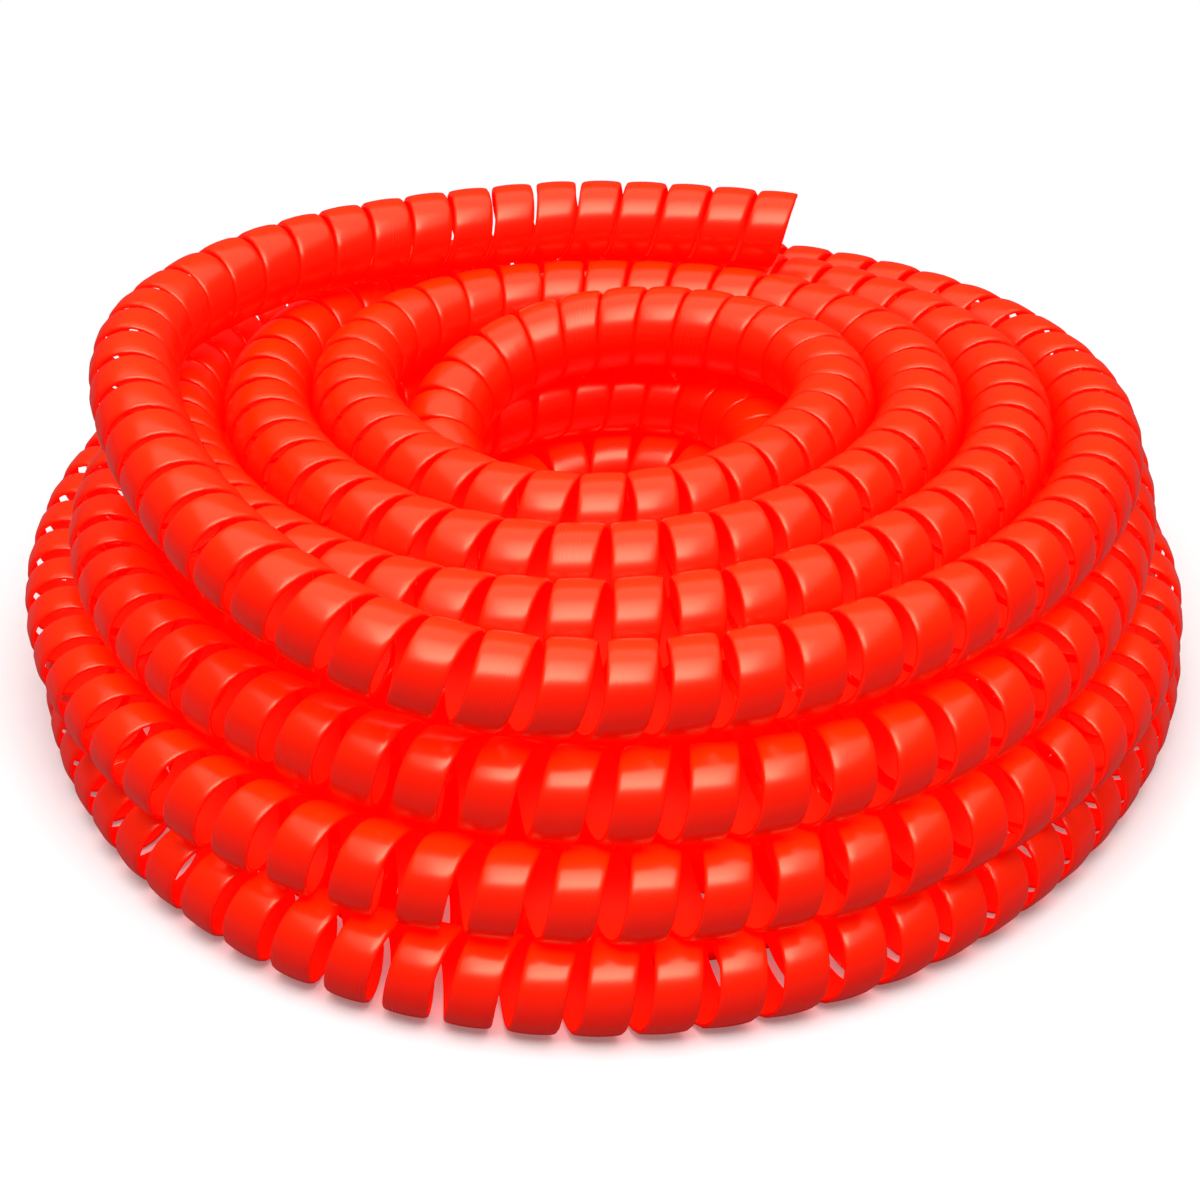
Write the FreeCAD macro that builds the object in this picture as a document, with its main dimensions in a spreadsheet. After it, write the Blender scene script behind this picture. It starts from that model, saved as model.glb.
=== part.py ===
import FreeCAD, Part
import math
import os

from FreeCAD import Placement, Rotation, Vector

# Spiral hose guard: one plastic strip wound to a left-handed spiral tube, which is itself wound up in
# four layers. Seen from above it runs clockwise, from its outer end on the floor to the cut end on top.
# Turns are counted along the guard: .0 is the left side of the coil, .25 its back, .5 its right side
# and .75 its front. The origin is on the floor under the middle of the whole coil.

# Driving sizes in millimetres, places along the coil in turns, angles in degrees
driving = {
    "guard_diameter": 40.0,
    "wall": 2.5,
    "wrap_pitch": 22.5,
    "wrap_gap": 3.0,
    "edge_round": 0.8,
    "turn_clearance": 1.7,
    "layer_clearance": 1.0,
    "floor_flat": 4.0,
    "first_turn": 0.25,
    "last_turn": 18.75,
    "lower_eye_turn": 5.0,
    "upper_eye_turn": 14.75,
    "eye_rounding": 0.08,
    "first_climb": 4.8,
    "second_climb": 9.9,
    "third_climb": 14.5,
    "first_draw_in": 4.25,
    "second_draw_in": 10.13,
    "third_draw_in": 14.5,
    "climb_length": 0.5,
    "free_first_run": 73.0,
    "strip_end_angle": -55.0,
}

# Each layer: its radius in the eye, its turn nearest the eye, how far it lies right and back of the
# origin, and how much it is out of round, upright and slanting
layers = {
    "floor": {"eye": 89.0, "middle": "lower_eye_turn",
              "right": -2.0, "back": -10.0, "oval": -10.0, "slant": 6.0},
    "second": {"eye": 69.0, "middle": "lower_eye_turn",
               "right": 2.0, "back": -9.0, "oval": -8.0, "slant": 0.0},
    "third": {"eye": 72.0, "middle": "upper_eye_turn",
              "right": -16.0, "back": -22.0, "oval": -7.0, "slant": -5.0},
    "top": {"eye": 70.0, "middle": "upper_eye_turn",
            "right": 1.0, "back": -21.0, "oval": -2.0, "slant": 7.0},
}

# The free stretch after its first run: round the front left, up onto the top layer and over its back
freePoints = [
    Vector(-174.0, -224.0, 149.0),
    Vector(-221.0, -161.0, 167.0),
    Vector(-234.0, -81.0, 180.0),
    Vector(-216.0, 5.0, 181.0),
    Vector(-175.0, 63.0, 180.0),
    Vector(-123.0, 103.0, 180.0),
    Vector(-53.0, 126.0, 180.0),
    Vector(20.0, 137.5, 180.0),
    Vector(93.5, 140.5, 180.0),
]
coilSides = 6
stationsPerWrap = 12
upright = Vector(0, 0, 1)

for layer, values in layers.items():
    for name in ("eye", "right", "back", "oval", "slant"):
        driving["%s_%s" % (layer, name)] = values[name]

doc = FreeCAD.newDocument("coiled_hose_guard")
sheet = doc.addObject("Spreadsheet::Sheet", "sizes")
for row, (alias, number) in enumerate(driving.items(), start=1):
    sheet.set("A%d" % row, alias)
    sheet.set("B%d" % row, str(number))
    sheet.setAlias("B%d" % row, alias)
doc.recompute()


def size(alias):
    return float(sheet.get(alias))


diameter = size("guard_diameter")
radius = diameter / 2
turnStep = diameter + size("turn_clearance")
layerRise = diameter + size("layer_clearance")
floorHeight = radius - size("floor_flat")


def ease(turn, start):
    share = min(max((turn - start) / size("climb_length"), 0.0), 1.0)
    return share * share * (3.0 - 2.0 * share)


def coil_point(turn):
    """Middle of the guard at a place in its coil: four spirals, each blended into the next."""
    climbed = sum(ease(turn, size(name)) for name in ("first_climb", "second_climb", "third_climb"))
    drawn = [ease(turn, size(name)) for name in ("first_draw_in", "second_draw_in", "third_draw_in")]
    shares = [1.0 - drawn[0], drawn[0] - drawn[1], drawn[1] - drawn[2], drawn[2]]
    angle = math.pi - 2.0 * math.pi * turn
    reach = right = back = 0.0
    for share, (layer, values) in zip(shares, layers.items()):
        spiral = turnStep * math.hypot(turn - size(values["middle"]), size("eye_rounding"))
        oval = size(layer + "_oval") * math.cos(2.0 * angle)
        slant = size(layer + "_slant") * math.sin(2.0 * angle)
        reach += share * (size(layer + "_eye") + spiral + oval + slant)
        right += share * size(layer + "_right")
        back += share * size(layer + "_back")
    height = floorHeight + layerRise * climbed
    return Vector(right + reach * math.cos(angle), back + reach * math.sin(angle), height)


def coil_direction(turn, ahead, behind):
    way = coil_point(turn + ahead) - coil_point(turn - behind)
    return way.normalize()


def tangent_arc(start, corner, end):
    """Arc from start to end that touches both lines through the corner."""
    chord = end - start
    lean = chord.getAngle(corner - start)
    if lean < 1e-6:
        return Part.LineSegment(start, end).toShape()
    middle = (start + end) * 0.5
    outward = (corner - middle).normalize()
    return Part.Arc(start, middle + outward * (chord.Length / 2 * math.tan(lean / 2)), end).toShape()


def biarc(start, startWay, end, endWay):
    """Two arcs that meet smoothly and keep the given directions at their ends."""
    reach = end - start
    along = reach.dot(startWay + endWay)
    bend = 2.0 * (1.0 - startWay.dot(endWay))
    step = (math.sqrt(along * along + bend * reach.dot(reach)) - along) / bend
    first = start + startWay * step
    second = end - endWay * step
    joint = (first + second) * 0.5
    return [tangent_arc(start, first, joint), tangent_arc(joint, second, end)]


def coil_edges():
    """Straight end, two arcs for each quarter turn, straight end."""
    quarters = round((size("last_turn") - size("first_turn")) * 4)
    turns = [size("first_turn") + quarter / 4 for quarter in range(quarters + 1)]
    points = [coil_point(turn) for turn in turns]
    ways = [coil_direction(turn, 0.0001, 0.0001) for turn in turns]
    ways[0] = coil_direction(turns[0], 0.0001, 0.0)
    ways[-1] = coil_direction(turns[-1], 0.03, 0.0)
    edges = [Part.LineSegment(points[0] - ways[0] * diameter, points[0]).toShape()]
    for index in range(quarters):
        edges += biarc(points[index], ways[index], points[index + 1], ways[index + 1])
    edges.append(Part.LineSegment(points[-1], points[-1] + ways[-1] * diameter).toShape())
    return edges


def free_edges(points):
    """Straight runs joined by tangent arcs, as large as their two runs allow."""
    edges = []
    radii = []
    start = points[0]
    for before, corner, after in zip(points, points[1:], points[2:]):
        cut = 0.45 * min((corner - before).Length, (after - corner).Length)
        arcStart = corner + (before - corner).normalize() * cut
        arcEnd = corner + (after - corner).normalize() * cut
        edges.append(Part.LineSegment(start, arcStart).toShape())
        edges.append(tangent_arc(arcStart, corner, arcEnd))
        radii.append(edges[-1].Curve.Radius)
        start = arcEnd
    edges.append(Part.LineSegment(start, points[-1]).toShape())
    print("free stretch radii", " ".join("%.0f" % value for value in radii))
    return edges


def least_gap(edges, spacing, skip):
    """Least distance between places that lie further apart than skip along the guard, less its diameter."""
    cells = {}
    gone = 0.0
    for edge in edges:
        steps = max(1, round(edge.Length / spacing))
        for step in range(steps):
            along = edge.Length * step / steps
            place = edge.valueAt(edge.getParameterByLength(along))
            key = (int(place.x // diameter), int(place.y // diameter), int(place.z // diameter))
            cells.setdefault(key, []).append((gone + along, place))
        gone += edge.Length
    least = 2.0 * diameter
    for (column, line, level), members in cells.items():
        near = [item for i in (-1, 0, 1) for j in (-1, 0, 1) for k in (-1, 0, 1)
                for item in cells.get((column + i, line + j, level + k), [])]
        for along, place in members:
            for otherAlong, other in near:
                if otherAlong - along > skip:
                    least = min(least, place.distanceToPoint(other))
    return least - diameter


coilEdges = coil_edges()
coilEnd = coilEdges[-1].Vertexes[-1].Point
coilWay = coilEdges[-1].tangentAt(coilEdges[-1].LastParameter)
freeRoute = [coilEnd, coilEnd + coilWay * size("free_first_run")] + freePoints
freeEdges = free_edges(freeRoute)
print("guard radius %.1f mm" % radius)
print("coil length %.0f mm" % sum(edge.Length for edge in coilEdges))
print("free stretch length %.0f mm" % sum(edge.Length for edge in freeEdges))
print("free stretch starts at", freeRoute[0], "then", freeRoute[1])
print("least gap of the coil to itself %.2f mm" % least_gap(coilEdges, 8.0, 2.5 * diameter))
print("least gap with the free stretch %.2f mm" % least_gap(coilEdges + freeEdges, 8.0, 2.5 * diameter))

# The coil: one unbroken tube through all four layers, cut flat where it lies on the floor
coilPath = doc.addObject("Part::Feature", "coil_path")
coilPath.Shape = Part.Wire(coilEdges)
coilPath.Placement = Placement()

coilSection = doc.addObject("Part::RegularPolygon", "coil_section")
coilSection.Polygon = coilSides
coilSection.setExpression("Circumradius", "sizes.guard_diameter / 2")
startWay = coilEdges[0].tangentAt(0.0)
coilSection.Placement = Placement(coilEdges[0].valueAt(0.0),
                                  Rotation(upright.cross(startWay), upright, startWay, "ZXY"))

winding = doc.addObject("Part::Sweep", "coil_winding")
winding.Sections = [coilSection]
winding.Spine = (coilPath, [])
winding.Solid = True
winding.Frenet = False

floorSide = 2.0 * coilPath.Shape.BoundBox.DiagonalLength
floorBlock = doc.addObject("Part::Box", "floor_block")
floorBlock.Length = floorSide
floorBlock.Width = floorSide
floorBlock.setExpression("Height", "sizes.floor_flat")
floorBlock.Placement = Placement(Vector(-floorSide / 2, -floorSide / 2, -size("floor_flat")), Rotation())

coil = doc.addObject("Part::Cut", "coil")
coil.Label = "coil"
coil.Base = winding
coil.Tool = floorBlock
coil.Placement = Placement()


def route_frame(edges, along):
    """Place, direction, left side and upward side of a route at a distance along it."""
    last = len(edges) - 1
    for index, edge in enumerate(edges):
        if along <= edge.Length or index == last:
            break
        along -= edge.Length
    inside = min(max(along, 0.0), edge.Length)
    parameter = edge.getParameterByLength(inside)
    way = edge.tangentAt(parameter)
    left = upright.cross(way).normalize()
    return edge.valueAt(parameter) + way * (along - inside), way, left, way.cross(left)


def strip_section(edges, along, turned):
    """Closed outline of the strip: flat towards the bore, its outer edges rounded off by a flat."""
    place, way, left, over = route_frame(edges, along)
    out = left * math.cos(turned) + over * math.sin(turned)
    inner = radius - size("wall")
    half = stripWidth / 2
    soft = size("edge_round")
    outline = [(inner, -half), (inner, half), (radius - soft, half)]
    outline += [(radius, half - soft), (radius, soft - half), (radius - soft, -half)]
    corners = [place + out * height + way * side for height, side in outline]
    return Part.makePolygon(corners + corners[:1])


def trim_block(name, place, way):
    """Block that takes off what reaches past one square end."""
    block = doc.addObject("Part::Box", name)
    block.setExpression("Length", "sizes.guard_diameter * 1.5")
    block.setExpression("Width", "sizes.guard_diameter * 1.5")
    block.setExpression("Height", "sizes.wrap_pitch * 3")
    turned = Rotation(upright.cross(way), upright, way, "ZXY")
    corner = turned.multVec(Vector(1, 1, 0)) * (diameter * 0.75)
    block.Placement = Placement(place - corner, turned)
    return block


# The free stretch: the strip itself, one left-handed wrap after the other round the open bore. Its last
# wrap has its crown just inside the square cut, and the strip is cut across at the end angle.
freeLength = sum(edge.Length for edge in freeEdges)
pitch = size("wrap_pitch")
stripWidth = pitch - size("wrap_gap")
lastCrown = freeLength - stripWidth / 2
stripEnd = lastCrown + pitch * (90.0 - size("strip_end_angle")) / 360.0
stationStep = pitch / stationsPerWrap
stations = math.ceil((stripEnd + pitch) / stationStep)
sections = []
for station in range(stations, -1, -1):
    along = stripEnd - station * stationStep
    turned = math.pi / 2 - 2.0 * math.pi * (along - lastCrown) / pitch
    sections.append(strip_section(freeEdges, along, turned))
strip = doc.addObject("Part::Feature", "free_strip")
strip.Shape = Part.makeLoft(sections, True, True)
strip.Placement = Placement()

startPlace, startDirection, _, _ = route_frame(freeEdges, 0.0)
endPlace, endDirection, _, _ = route_frame(freeEdges, freeLength)
joined = doc.addObject("Part::Cut", "free_strip_joined_end")
joined.Base = strip
joined.Tool = trim_block("joined_end_block", startPlace, -startDirection)
freeEnd = doc.addObject("Part::Cut", "free_end")
freeEnd.Label = "free_end"
freeEnd.Base = joined
freeEnd.Tool = trim_block("cut_end_block", endPlace, endDirection)
freeEnd.Placement = Placement()
doc.recompute()

subparts = [coil, freeEnd]
for item in doc.Objects:
    if "Invalid" in item.State or "Error" in item.State:
        raise RuntimeError("%s failed" % item.Name)
for item in subparts:
    if item.Shape.isNull() or not item.Shape.isValid() or len(item.Shape.Solids) != 1:
        raise RuntimeError("%s is not one sound solid" % item.Label)
os.makedirs("parts", exist_ok=True)
for item in subparts:
    item.Shape.exportStep("parts/%s.step" % item.Label)
    print("%s %d faces, %.0f mm3" % (item.Label, len(item.Shape.Faces), item.Shape.Volume))
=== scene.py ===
import math

import bpy
import numpy as np
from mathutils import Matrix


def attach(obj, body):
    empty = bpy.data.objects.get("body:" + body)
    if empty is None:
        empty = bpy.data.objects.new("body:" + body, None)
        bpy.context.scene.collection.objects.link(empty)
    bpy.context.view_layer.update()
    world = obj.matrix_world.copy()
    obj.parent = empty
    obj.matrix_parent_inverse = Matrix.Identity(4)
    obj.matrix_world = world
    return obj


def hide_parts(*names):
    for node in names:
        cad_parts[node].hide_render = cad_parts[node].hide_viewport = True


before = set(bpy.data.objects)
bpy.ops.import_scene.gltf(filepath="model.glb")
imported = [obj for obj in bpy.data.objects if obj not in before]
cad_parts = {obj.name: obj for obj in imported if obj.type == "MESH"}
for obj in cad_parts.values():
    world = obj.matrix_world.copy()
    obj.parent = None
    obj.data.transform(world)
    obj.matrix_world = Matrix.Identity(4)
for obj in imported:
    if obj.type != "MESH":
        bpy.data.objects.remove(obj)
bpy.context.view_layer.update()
print("frame loaded")

# The guard is one plastic strip wound to a left-handed spiral tube, here in metres
guard = {
    "diameter": 0.040,
    "wall": 0.0025,
    "stripWidth": 0.0200,
    "leastGap": 0.0005,  # between two wraps on the inside of a bend
    "stationsPerWrap": 24,
    "endAngle": math.radians(62.0),  # where the strip is cut across, just over the last wrap's crown
    "lean": 0.42,  # how much less the strip slants on the upper side than below
    "leanAngle": math.radians(65.0),  # where round the guard the lean shifts nothing
    "edgeAngle": math.radians(50.0),  # edges that turn by more than this stay sharp
}

# Half of the strip's outline: how far below the outer face, and how far in from the edge
stripEdge = [
    (0.00007, 0.0068),
    (0.00020, 0.0042),
    (0.00036, 0.0024),
    (0.00060, 0.0012),
    (0.00105, 0.0004),
    (0.00170, 0.0),
    (0.00230, 0.0001),
    (0.00250, 0.0005),
]

# Its coil runs clockwise from the outer end on the floor. Turn .0 is the left, .25 the back, .5 the right
# and .75 the front.
coil = {
    "firstTurn": 0.25,
    "lastTurn": 18.75,
    "pointsPerTurn": 24,
    "runsPerPoint": 16,  # short runs of the line for each of the route's points
    "searchPoints": 4,  # points each way in which a turn is looked for on the line
    "turnStep": 0.0417,
    "eyeRounding": 0.08,
    "layerTurns": 4.5,
    "easeLength": 0.5,  # turns in which one layer passes into the next
}

# Each layer: height of the guard's middle and how far its outer turns sink at the back, radius in the eye
# and the turn there, its place and how far it is moved on from there in the eye, and how far it is off a
# circle (two ovals, then two three-sided shapes). The coil climbs to each later layer from one turn and
# takes on its shape from another.
layers = [
    {"name": "floor_layer", "height": 0.0200, "sink": 0.0, "eye": 0.0895, "middle": 5.0,
     "right": -0.0125, "back": -0.0118, "eyeRight": 0.0, "eyeBack": 0.0,
     "oval": -0.0079, "slant": 0.0003, "lobe": 0.0011, "lobeSlant": 0.0060},
    {"name": "second_layer", "height": 0.0600, "sink": 0.0074, "eye": 0.0687, "middle": 5.0,
     "right": 0.0007, "back": -0.0074, "eyeRight": 0.0, "eyeBack": 0.004,
     "oval": -0.0083, "slant": -0.0019, "lobe": 0.0017, "lobeSlant": 0.0018, "climb": 4.80, "drawIn": 4.25},
    {"name": "third_layer", "height": 0.0992, "sink": 0.0110, "eye": 0.0733, "middle": 14.75,
     "right": -0.0133, "back": -0.0223, "eyeRight": 0.012, "eyeBack": 0.009,
     "oval": -0.0075, "slant": 0.0004, "lobe": -0.0050, "lobeSlant": 0.0023, "climb": 9.95, "drawIn": 10.13},
    {"name": "top_layer", "height": 0.1476, "sink": 0.0012, "eye": 0.0674, "middle": 14.75,
     "right": -0.0029, "back": -0.0223, "eyeRight": 0.0, "eyeBack": 0.0,
     "oval": 0.0020, "slant": -0.0001, "lobe": 0.0020, "lobeSlant": 0.0062, "climb": 14.83, "drawIn": 14.92},
]

# The outer turns of the top layer lie lower, most of all at the back
topSag = {"firstTurn": 15.0, "turns": 4.0, "allRound": 0.0077, "atBack": 0.026}

# The free end: round the front left, up onto the top layer and over its back
freeEnd = [
    (-0.070, -0.265, 0.150),
    (-0.137, -0.225, 0.161),
    (-0.189, -0.153, 0.171),
    (-0.221, -0.063, 0.181),
    (-0.213, 0.009, 0.180),
    (-0.157, 0.072, 0.181),
    (-0.079, 0.113, 0.178),
    (0.008, 0.131, 0.177),
    (0.090, 0.116, 0.174),
]


def ease(turn, start):
    share = min(max((turn - start) / coil["easeLength"], 0.0), 1.0)
    return share * share * (3.0 - 2.0 * share)


def sharesOf(turn, key):
    # how much each layer counts at a turn, where one layer passes into the next
    begun = [1.0] + [ease(turn, layer[key]) for layer in layers[1:]] + [0.0]
    return [here - after for here, after in zip(begun, begun[1:])]


def coilPoint(turn):
    angle = math.pi - 2.0 * math.pi * turn
    backShare = (1.0 + math.sin(angle)) / 2.0
    reach = right = back = height = 0.0
    for layer, share in zip(layers, sharesOf(turn, "drawIn")):
        nearEye = max(1.0 - abs(turn - layer["middle"]) / coil["layerTurns"], 0.0)
        spiral = coil["turnStep"] * math.hypot(turn - layer["middle"], coil["eyeRounding"])
        bulge = layer["oval"] * math.cos(2.0 * angle) + layer["slant"] * math.sin(2.0 * angle)
        bulge += layer["lobe"] * math.cos(3.0 * angle) + layer["lobeSlant"] * math.sin(3.0 * angle)
        reach += share * (layer["eye"] + spiral + bulge)
        right += share * (layer["right"] + layer["eyeRight"] * nearEye)
        back += share * (layer["back"] + layer["eyeBack"] * nearEye)
    for layer, share in zip(layers, sharesOf(turn, "climb")):
        offEye = abs(turn - layer["middle"]) / coil["layerTurns"]
        height += share * (layer["height"] - layer["sink"] * offEye * backShare)
    out = max(turn - topSag["firstTurn"], 0.0) / topSag["turns"]
    height -= out * out * (topSag["allRound"] + topSag["atBack"] * backShare)
    reach /= math.cos(math.pi / coil["pointsPerTurn"])  # the spline passes inside its points
    return (right + reach * math.cos(angle), back + reach * math.sin(angle), height)


def unit(vectors):
    return vectors / np.linalg.norm(vectors, axis=-1, keepdims=True)


def smoothed(values, reach):
    # each value is evened out with its neighbours up to reach places away
    kernel = np.hanning(2 * reach + 3)[1:-1]
    kernel /= kernel.sum()
    padded = np.pad(values, ((reach, reach), (0, 0)), mode="edge")
    return np.stack([np.convolve(padded[:, k], kernel, mode="valid") for k in range(3)], axis=1)


# Turns that would cut into each other are pushed apart where they are free to give way. The stretches that
# lie open to view are held.
settling = {
    "rounds": 100,
    "share": 0.3,  # of the overlap that one round takes away
    "heldTurns": [(0.45, 1.10), (5.10, 5.65), (9.45, 11.15), (14.15, 14.62), (14.98, 18.75)],
    "fade": 0.15,  # turns beside a held stretch that are only partly free
    "smallest": 1e-6,  # least value to divide by
}


def freedom(turns):
    free = np.ones(len(turns))
    for low, high in settling["heldTurns"]:
        away = np.maximum(np.maximum(low - turns, turns - high), 0.0)
        free = np.minimum(free, np.clip(away / settling["fade"], 0.0, 1.0))
    return free * free * (3.0 - 2.0 * free)


def settled(turns, places):
    free = freedom(turns)[:, None]
    yields = free / np.maximum(free + free.T, settling["smallest"])
    number = np.arange(len(turns))
    sameSide = (number[:, None] - number) % coil["pointsPerTurn"] == 0
    np.fill_diagonal(sameSide, False)
    moved = places.copy()
    for _ in range(settling["rounds"]):
        way = unit(np.gradient(moved, axis=0))[:, None]
        gaps = moved[:, None] - moved
        gaps -= (gaps * way).sum(axis=2, keepdims=True) * way
        apart = np.maximum(np.linalg.norm(gaps, axis=2), settling["smallest"])
        overlap = np.where(sameSide, np.maximum(guard["diameter"] - apart, 0.0), 0.0)
        push = (gaps * (overlap * yields / apart)[..., None]).sum(axis=1)
        moved += settling["share"] * push * free
        moved[:, 2] = np.maximum(moved[:, 2], guard["diameter"] / 2)
        shift = moved - places
        moved = places + np.where(free > 0.0, (shift + smoothed(shift, 1)) / 2.0, 0.0)
    return moved


def runsOf(line):
    return np.linalg.norm(np.diff(line, axis=0), axis=1)


def makeLine(coilPlaces):
    # the spline of the coil and the free end as a line of short runs, and the way along it to each place
    places = coilPlaces.tolist() + [list(place) for place in freeEnd]
    curve = bpy.data.curves.new("route", "CURVE")
    curve.dimensions = "3D"
    curve.resolution_u = coil["runsPerPoint"]
    spline = curve.splines.new("NURBS")
    spline.points.add(len(places) - 1)
    for point, place in zip(spline.points, places):
        point.co = (*place, 1.0)
    spline.order_u = 3
    spline.use_endpoint_u = True
    bare = bpy.data.objects.new("route", curve)
    mesh = bpy.data.meshes.new_from_object(bare)
    line = np.array([vertex.co for vertex in mesh.vertices], float)
    bpy.data.objects.remove(bare)
    bpy.data.meshes.remove(mesh)
    return line, np.concatenate([[0.0], np.cumsum(runsOf(line))])


# The coil as drawn, which the wraps are counted on, and the settled one, which the strip follows
pointCount = round((coil["lastTurn"] - coil["firstTurn"]) * coil["pointsPerTurn"]) + 1
turns = coil["firstTurn"] + np.arange(pointCount) / coil["pointsPerTurn"]
drawnPlaces = np.array([coilPoint(turn) for turn in turns])
drawnLine, drawnAlong = makeLine(drawnPlaces)
line, along = makeLine(settled(turns, drawnPlaces))
routeLength = float(along[-1])
print("coil settled, route of", round(routeLength, 3), "m")

# Which way the route runs at each place of its line, and how it bends
bendReach = 6  # places each way over which the bend is evened out
ways = unit(np.gradient(line, along, axis=0))
bends = smoothed(np.gradient(ways, along, axis=0), bendReach)


def onRoute(values, at):
    return np.stack([np.interp(at, along, values[:, k]) for k in range(3)], axis=-1)


def outward(at, angle):
    # square to the route: angle 0 is its left side, a quarter turn its upper side
    way = unit(onRoute(ways, at))
    left = unit(np.cross((0.0, 0.0, 1.0), way))
    return left * np.cos(angle)[..., None] + np.cross(way, left) * np.sin(angle)[..., None]


def indexOfTurn(turn):
    # where a turn of the coil is in the line
    near = int((turn - coil["firstTurn"]) * coil["pointsPerTurn"] * coil["runsPerPoint"])
    around = coil["searchPoints"] * coil["runsPerPoint"]
    low = max(near - around, 0)
    gaps = np.linalg.norm(drawnLine[low:near + around] - np.array(coilPoint(turn)), axis=1)
    return low + int(gaps.argmin())


# Wrap pitch at turns of the coil, and at the cut end: the wraps are pulled open in the outer turns and
# pressed together in the eye
wrapping = {
    "pitches": [(0.25, 0.0250), (2.0, 0.0250), (9.0, 0.0280), (10.2, 0.0280), (10.5, 0.0272), (11.5, 0.0260),
                (14.2, 0.0226), (15.0, 0.0206), (15.5, 0.0206), (16.0, 0.0220), (17.0, 0.0240),
                (18.75, 0.02475)],
    "endPitch": 0.02245,
    "endStretch": 0.4,  # how much of the route before the cut end has that pitch
}


def stripStations():
    # the strip's middle along the route, its angle round the guard and its pitch, ending at the cut end
    drawnEnd = drawnAlong[-1]
    places = [drawnAlong[indexOfTurn(turn)] for turn, pitch in wrapping["pitches"]]
    places += [drawnEnd - wrapping["endStretch"], drawnEnd]
    values = [pitch for turn, pitch in wrapping["pitches"]] + [wrapping["endPitch"]] * 2
    pitches = np.interp(drawnAlong, places, values)
    runs = runsOf(drawnLine)
    wraps = np.concatenate([[0.0], np.cumsum(runs * (1.0 / pitches[1:] + 1.0 / pitches[:-1]) / 2.0)])
    lastCrown = routeLength - guard["stripWidth"] / 2
    crownWraps = float(np.interp(lastCrown, along, wraps))
    lastWraps = crownWraps + (math.pi / 2 - guard["endAngle"]) / (2.0 * math.pi)
    count = int(lastWraps * guard["stationsPerWrap"]) - 2
    steps = lastWraps - np.arange(count, -1, -1) / guard["stationsPerWrap"]
    middles = np.interp(steps, wraps, along)
    over = steps > wraps[-1]
    middles[over] = routeLength + (steps[over] - wraps[-1]) * wrapping["endPitch"]
    angles = math.pi / 2 - 2.0 * math.pi * (steps - crownWraps)
    pitches = np.interp(middles, along, pitches)
    middles += pitches / (2.0 * math.pi) * guard["lean"] * np.sin(angles - guard["leanAngle"])
    return middles, angles, pitches


def stripCorners(middles, angles, pitches):
    # every corner of the strip's outline at every station, one row for each station
    radius = guard["diameter"] / 2
    outline = [(drop, edge, -1.0) for drop, edge in reversed(stripEdge)] + [(0.0, None, 0.0)]
    outline += [(drop, edge, 1.0) for drop, edge in stripEdge]
    stretch = 1.0 - radius * (onRoute(bends, middles) * outward(middles, angles)).sum(axis=1)
    half = np.minimum(guard["stripWidth"] / 2 / stretch, (pitches - guard["leastGap"]) / 2)
    corners = []
    for drop, edge, side in outline:
        reach = np.zeros_like(middles) if edge is None else side * (half - edge / stretch)
        at = np.clip(middles + reach, 0.0, routeLength)
        corners.append(onRoute(line, at) + outward(at, angles) * (radius - drop))
    return np.stack(corners, axis=1)


def ringFaces(stations, corners):
    # a closed band: quads between one station and the next, and a face at each end
    faces = []
    for station in range(stations - 1):
        low, high = station * corners, (station + 1) * corners
        for k in range(corners):
            after = (k + 1) % corners
            faces.append((low + k, low + after, high + after, high + k))
    faces.append(tuple(range(corners - 1, -1, -1)))
    faces.append(tuple(range((stations - 1) * corners, stations * corners)))
    return faces


def addStripMap(mesh, first, stations, count):
    # U runs along the strip and V round its outline, both in metres
    uv = mesh.uv_layers.new(name="strip")
    runAlong = np.arange(first, first + stations) * math.pi * guard["diameter"] / guard["stationsPerWrap"]
    runRound = np.linspace(0.0, 1.0, count, endpoint=False) * 2.0 * (guard["stripWidth"] + guard["wall"])
    corner = np.empty(len(mesh.loops), int)
    mesh.loops.foreach_get("vertex_index", corner)
    places = np.stack([runAlong[corner // count], runRound[corner % count]], axis=1)
    uv.data.foreach_set("uv", places.astype(np.float32).ravel())


def addAttributes(mesh, stations, count):
    # which faces line the bore, and how far each point faces up, which the material uses for its painted
    # light on the upper faces
    inner = np.zeros(len(mesh.polygons), np.float32)
    inner[count - 1:(stations - 1) * count:count] = 1.0
    mesh.attributes.new("inside", "FLOAT", "FACE").data.foreach_set("value", inner)
    normals = np.empty(len(mesh.vertices) * 3, np.float32)
    mesh.vertices.foreach_get("normal", normals)
    facing = np.clip(normals[2::3], 0.0, 1.0)
    mesh.attributes.new("upward", "FLOAT", "POINT").data.foreach_set("value", facing)


def makeStrip(name, first, last, corners):
    rows = corners[first:last + 1]
    stations, count = rows.shape[:2]
    mesh = bpy.data.meshes.new(name)
    mesh.from_pydata(rows.reshape(-1, 3).tolist(), [], ringFaces(stations, count))
    addStripMap(mesh, first, stations, count)
    addAttributes(mesh, stations, count)
    piece = bpy.data.objects.new(name, mesh)
    bpy.context.scene.collection.objects.link(piece)
    for each in bpy.context.selected_objects:
        each.select_set(False)
    piece.select_set(True)
    bpy.context.view_layer.objects.active = piece
    bpy.ops.object.shade_smooth_by_angle(angle=guard["edgeAngle"])
    piece.select_set(False)
    return piece


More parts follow.
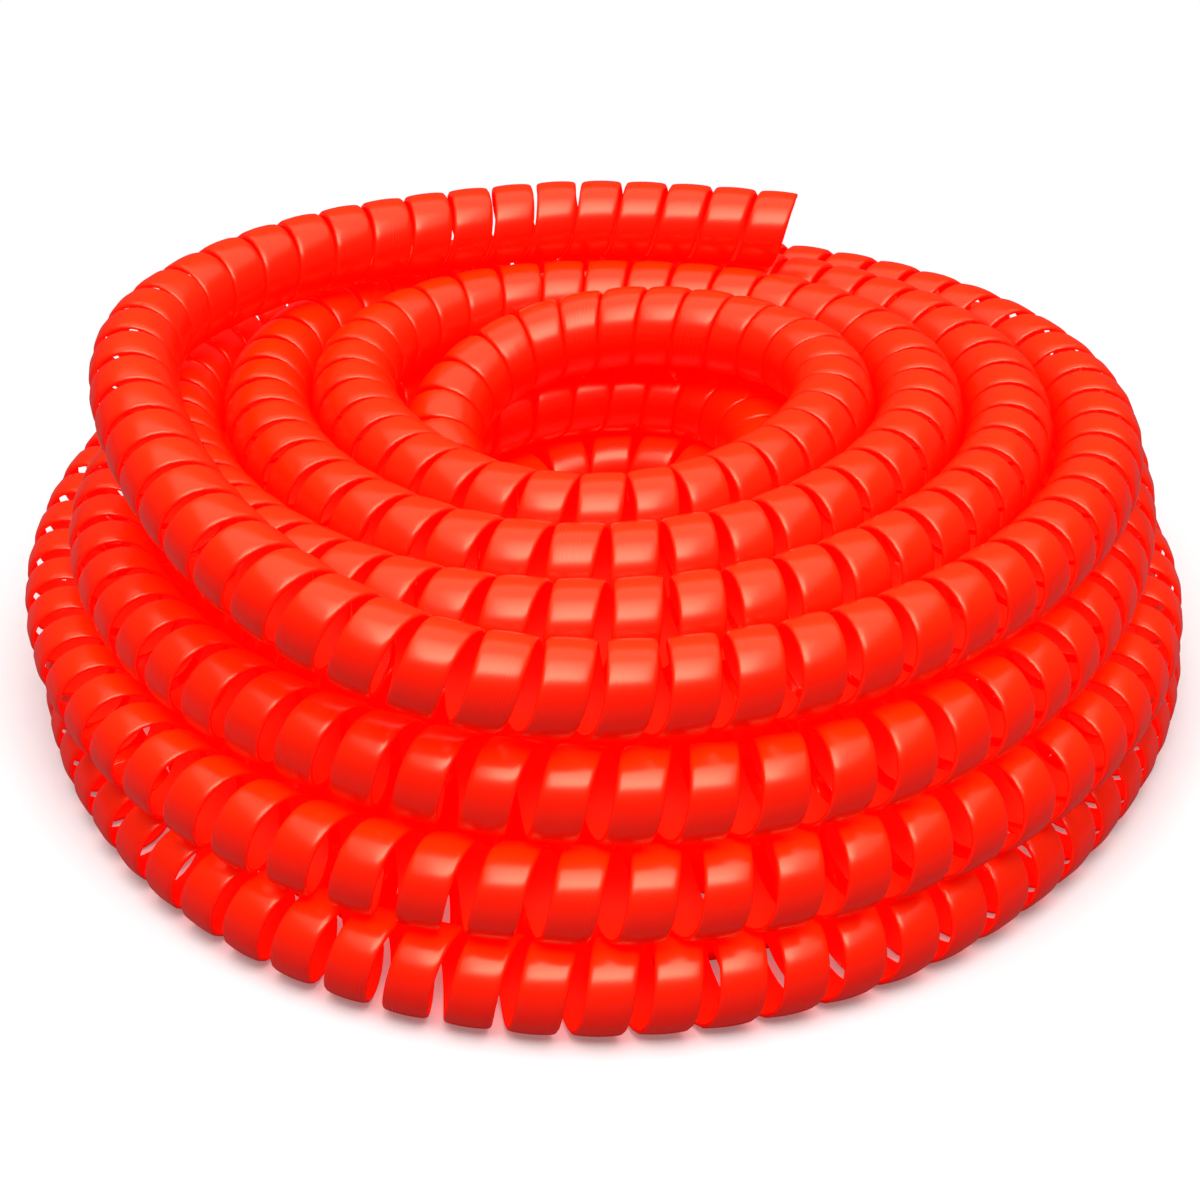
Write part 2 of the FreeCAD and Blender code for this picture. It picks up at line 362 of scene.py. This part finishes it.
# One strip from end to end, in five lengths that meet face to face
middles, angles, pitches = stripStations()
corners = stripCorners(middles, angles, pitches)
print(len(middles), "stations")
turnEnds = [layer["climb"] for layer in layers[1:]] + [coil["lastTurn"]]
lengthEnds = [0.0] + [float(along[indexOfTurn(turn)]) for turn in turnEnds] + [routeLength]
cuts = [0] + [int(np.searchsorted(middles, end)) for end in lengthEnds[1:-1]] + [len(middles) - 1]
names = [layer["name"] for layer in layers] + ["free_end_strip"]
pieces = [makeStrip(name, first, last, corners) for name, first, last in zip(names, cuts, cuts[1:])]
print("strips made", [len(piece.data.polygons) for piece in pieces])


# Shader sockets that take part in plain expressions
class Wire:
    def __init__(self, maker, socket):
        self.maker = maker
        self.socket = socket

    def mathNode(self, operation, first, second):
        return self.maker.node("ShaderNodeMath", {"operation": operation}, first, second)

    def __add__(self, other):
        return self.mathNode("ADD", self, other)

    def __radd__(self, other):
        return self.mathNode("ADD", other, self)

    def __mul__(self, other):
        return self.mathNode("MULTIPLY", self, other)

    def __rmul__(self, other):
        return self.mathNode("MULTIPLY", other, self)


class Maker:
    def __init__(self, tree, shaderName):
        self.tree = tree
        self.shader = tree.nodes[shaderName]

    def join(self, socket, value):
        if isinstance(value, Wire):
            self.tree.links.new(value.socket, socket)
        else:
            socket.default_value = value

    def node(self, kind, settings, *inputs, out=0, **named):
        made = self.tree.nodes.new(kind)
        for key, value in settings.items():
            setattr(made, key, value)
        for socket, value in zip(made.inputs, inputs):
            self.join(socket, value)
        for key, value in named.items():
            self.join(made.inputs[key], value)
        return Wire(self, made.outputs[out])

    def set(self, name, value):
        self.join(self.shader.inputs[name], value)


def newMaterial(name):
    material = bpy.data.materials.new(name)
    material.use_nodes = True
    return material, Maker(material.node_tree, "Principled BSDF")


plastic = {
    "deepRed": (1.0, 0.006, 0.0, 1.0),
    "paintedLitRed": (1.0, 0.036, 0.0, 1.0),  # painted light: a lighter red on what faces up
    "fade": 0.8,  # share of the painted lighter red on what faces straight up
    "cloudOnPaintedLight": 0.3,  # what the clouds and the streaks add to that share of painted light
    "streakOnPaintedLight": 0.1,
    "roughness": 0.26,
    "insideRoughness": 0.70,
    "cloudRoughness": 0.06,  # how much the clouds and the streaks change it
    "streakRoughness": 0.02,
    "specular": 0.8,
    "sheenTint": (1.0, 0.72, 0.46, 1.0),  # the gloss has the plastic's own warm tone
    "paintedGlowColor": (1.0, 0.0, 0.0, 1.0),
    "glow": 0.25,  # painted glow: red light the plastic gives off itself, lifting its shade like light through the wall
    "cloudScale": 22.0,
    "streakScale": (14.0, 1500.0, 1.0),  # along the strip and across it
    "grainScale": 900.0,
    "streakRelief": 0.1,
    "grainRelief": 0.5,
    "reliefStrength": 0.10,
    "reliefDepth": 0.00004,
}


def redPlastic():
    red, maker = newMaterial("red_plastic")
    place = maker.node("ShaderNodeTexCoord", {}, out="Object")
    strip = maker.node("ShaderNodeUVMap", {"uv_map": "strip"})
    stretched = maker.node("ShaderNodeVectorMath", {"operation": "MULTIPLY"}, strip, plastic["streakScale"])
    cloud = maker.node("ShaderNodeTexNoise", {}, Vector=place, Scale=plastic["cloudScale"], Detail=2.0)
    streak = maker.node("ShaderNodeTexNoise", {}, Vector=stretched, Scale=1.0, Detail=2.0)
    grain = maker.node("ShaderNodeTexNoise", {}, Vector=place, Scale=plastic["grainScale"], Detail=1.0)
    inside = maker.node("ShaderNodeAttribute", {"attribute_name": "inside"}, out="Fac")
    upward = maker.node("ShaderNodeAttribute", {"attribute_name": "upward"}, out="Fac")

    # Painted light: the base colour turns to a lighter red where the surface faces up, as if lit from above
    tone = maker.node("ShaderNodeMix", {"data_type": "RGBA"}, out=2)
    mixSockets = tone.socket.node.inputs
    fade = plastic["fade"] + cloud * plastic["cloudOnPaintedLight"] + streak * plastic["streakOnPaintedLight"]
    maker.join(mixSockets["Factor"], upward * upward * fade)
    maker.join(mixSockets[6], plastic["deepRed"])  # 6 and 7 are the two colours that are mixed
    maker.join(mixSockets[7], plastic["paintedLitRed"])
    maker.set("Base Color", tone)

    # noise is about a half on average, which is taken off first
    satin = plastic["roughness"] - (plastic["cloudRoughness"] + plastic["streakRoughness"]) / 2.0
    satin = satin + cloud * plastic["cloudRoughness"] + streak * plastic["streakRoughness"]
    maker.set("Roughness", satin + inside * (plastic["insideRoughness"] - plastic["roughness"]))
    maker.set("Specular IOR Level", plastic["specular"])
    maker.set("Specular Tint", plastic["sheenTint"])
    # Painted glow: a little red light of the plastic's own, which lifts its shaded parts
    maker.set("Emission Color", plastic["paintedGlowColor"])
    maker.set("Emission Strength", plastic["glow"])
    relief = streak * plastic["streakRelief"] + grain * plastic["grainRelief"]
    maker.set("Normal", maker.node("ShaderNodeBump", {}, Height=relief, Strength=plastic["reliefStrength"],
                                   Distance=plastic["reliefDepth"]))
    return red


red = redPlastic()
print("material made")

# Each length gets the red plastic, hangs from the root and stands for its part of the construction, which is
# hidden
for piece, start, end in zip(pieces, lengthEnds, lengthEnds[1:]):
    piece.data.materials.append(red)
    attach(piece, "root")
    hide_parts("free_end" if piece.name == "free_end_strip" else "coil")

studio = {
    "white": (1.0, 1.0, 1.0, 1.0),
    "floorSide": 30.0,
    "floorColor": 0.15,  # where the camera doesn't look at it
    "floorRoughness": 0.9,
    "nearWhite": 0.15,  # share of plain white in the floor that the camera sees near the coil
    "whiteFrom": 0.30,  # distance where it starts to grow
    "whiteAt": 0.50,  # and where the floor is all white
    "worldLight": 0.08,
    "aim": (-0.0084, -0.085, 0.0764),
    "cameraDistance": 1.1451,
    "cameraElevation": math.radians(31.0),
    "lens": 74.67,
    "lampDistance": 2.2,
    "lampAim": (0.0, 0.0, 0.1),
}

# Lamps in front of the coil and over it: elevation in degrees, width, height and radiance
lamps = {
    "front_strip": (50.5, 1.8, 0.35, 6.4),
    "front_softbox": (60.0, 1.8, 0.38, 5.4),
    "high_softbox": (71.0, 1.8, 0.42, 3.9),
    "crown_softbox": (83.0, 1.8, 0.50, 2.0),
    "top_softbox": (90.0, 4.0, 4.0, 0.95),
}


def makeFloor():
    bpy.ops.mesh.primitive_plane_add(size=studio["floorSide"])
    floor = bpy.context.object
    floor.name = "floor"
    white, maker = newMaterial("floor_white")
    seen = maker.node("ShaderNodeLightPath", {}, out="Is Camera Ray")
    level = studio["floorColor"]
    maker.set("Base Color", level + seen * (1.0 - level))
    maker.set("Roughness", studio["floorRoughness"])
    maker.set("Specular IOR Level", 0.0)
    place = maker.node("ShaderNodeTexCoord", {}, out="Object")
    away = maker.node("ShaderNodeVectorMath", {"operation": "LENGTH"}, place, out="Value")
    whiteShare = maker.node("ShaderNodeMapRange", {"interpolation_type": "SMOOTHSTEP"}, away,
                            studio["whiteFrom"], studio["whiteAt"], studio["nearWhite"], 1.0)
    glow = maker.node("ShaderNodeEmission", {}, studio["white"], 1.0)
    plain = Wire(maker, maker.shader.outputs[0])
    both = maker.node("ShaderNodeMixShader", {}, seen * whiteShare, plain, glow)
    maker.join(maker.tree.nodes["Material Output"].inputs["Surface"], both)
    floor.data.materials.append(white)


def makeWorld():
    world = bpy.data.worlds.new("studio")
    bpy.context.scene.world = world
    world.use_nodes = True
    maker = Maker(world.node_tree, "Background")
    seen = maker.node("ShaderNodeLightPath", {}, out="Is Camera Ray")
    level = studio["worldLight"]
    maker.set("Color", studio["white"])
    maker.set("Strength", level + seen * (1.0 - level))


def aimed(way):
    flat = math.hypot(way[0], way[1])
    return (math.atan2(flat, -way[2]), 0.0, math.atan2(-way[0], way[1]))


def placeInFront(item, aim, elevation, distance):
    # in front of the aim, or over it at 90 degrees, and facing it
    away = np.array((0.0, -math.cos(elevation), math.sin(elevation))) * distance
    item.location = away + aim
    item.rotation_euler = aimed(-away)
    bpy.context.scene.collection.objects.link(item)


def makeLights():
    for name, (elevation, width, height, radiance) in lamps.items():
        data = bpy.data.lights.new(name, "AREA")
        data.shape = "RECTANGLE"
        data.size, data.size_y = width, height
        data.energy = radiance * math.pi * width * height
        lamp = bpy.data.objects.new(name, data)
        placeInFront(lamp, studio["lampAim"], math.radians(elevation), studio["lampDistance"])


def makeCamera():
    data = bpy.data.cameras.new("camera")
    data.lens = studio["lens"]
    camera = bpy.data.objects.new("camera", data)
    placeInFront(camera, studio["aim"], studio["cameraElevation"], studio["cameraDistance"])
    bpy.context.scene.camera = camera


makeFloor()
makeWorld()
makeLights()
makeCamera()
bpy.context.scene.view_settings.view_transform = "Standard"
print("studio made")
